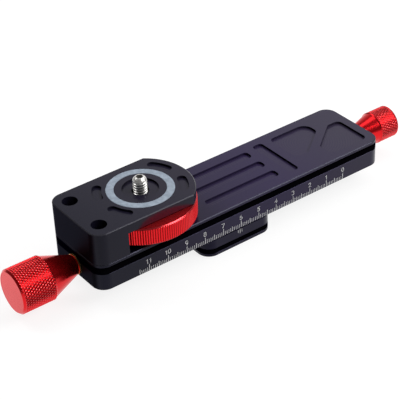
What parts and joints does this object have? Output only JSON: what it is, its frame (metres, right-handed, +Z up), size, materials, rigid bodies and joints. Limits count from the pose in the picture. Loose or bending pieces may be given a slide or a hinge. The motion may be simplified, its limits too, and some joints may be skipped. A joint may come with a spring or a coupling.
{
  "type": "macro focusing rail",
  "caption": "Rail with a screw-driven carriage below, a platform block with a camera screw and thumb wheel on top, and a knurled knob at each end.",
  "frame": {"origin": "centre of the tripod thread's mouth in the carriage's underside, which the part stands on", "axes": "+X along the rail from the platform's end to the scale's zero end, +Y away from the scale, +Z up"},
  "size_m": [0.2127, 0.0488, 0.0434],
  "materials": {
    "black_anodised": "satin black anodised",
    "red_anodised": "glossy red anodised",
    "plain_aluminium": "milled",
    "stainless_steel": "turned",
    "black_steel": "black oxide",
    "brass": "turned",
    "bronze": "sintered",
    "rubber_ring": "matt",
    "acetal": "matt"
  },
  "bodies": {
    "rail": {"rail_body": "black_anodised", "platform_block": "black_anodised", "platform_screws": "black_steel", "rubber_ring": "rubber_ring", "bush_left": "bronze", "bush_right": "bronze", "wheel_washer": "acetal"},
    "screw": {"lead_screw": "stainless_steel", "knob_left": "red_anodised", "knob_right": "red_anodised", "washer_left": "brass", "washer_right": "brass", "knob_set_screws": "black_steel"},
    "carriage": {"carriage_plate": "black_anodised", "slide_block": "plain_aluminium", "lead_nut": "brass", "nut_screws": "stainless_steel", "guide_strips": "acetal", "carriage_screws": "black_steel", "tripod_bush": "brass"},
    "camera_screw": {"thumb_wheel": "red_anodised", "camera_stud": "stainless_steel", "stud_clip": "stainless_steel"}
  },
  "joints": [
    {"name": "screw_turn", "type": "hinge", "parent": "rail", "child": "screw", "pos_m": [0, 0, 0.014], "axis": [1, 0, 0], "range_deg": [-21888.01, 19512.01]},
    {"name": "carriage_slide", "type": "slide", "parent": "rail", "child": "carriage", "axis": [1, 0, 0], "range_m": [-0.0542, 0.0608]},
    {"name": "wheel_turn", "type": "hinge", "parent": "rail", "child": "camera_screw", "pos_m": [-0.03885, 0, 0.0289], "axis": [0, 0, 1], "continuous": true}
  ],
  "couplings": [
    {"joint": "screw_turn", "follows": "carriage_slide", "rad_per_m": -6283.2}
  ]
}
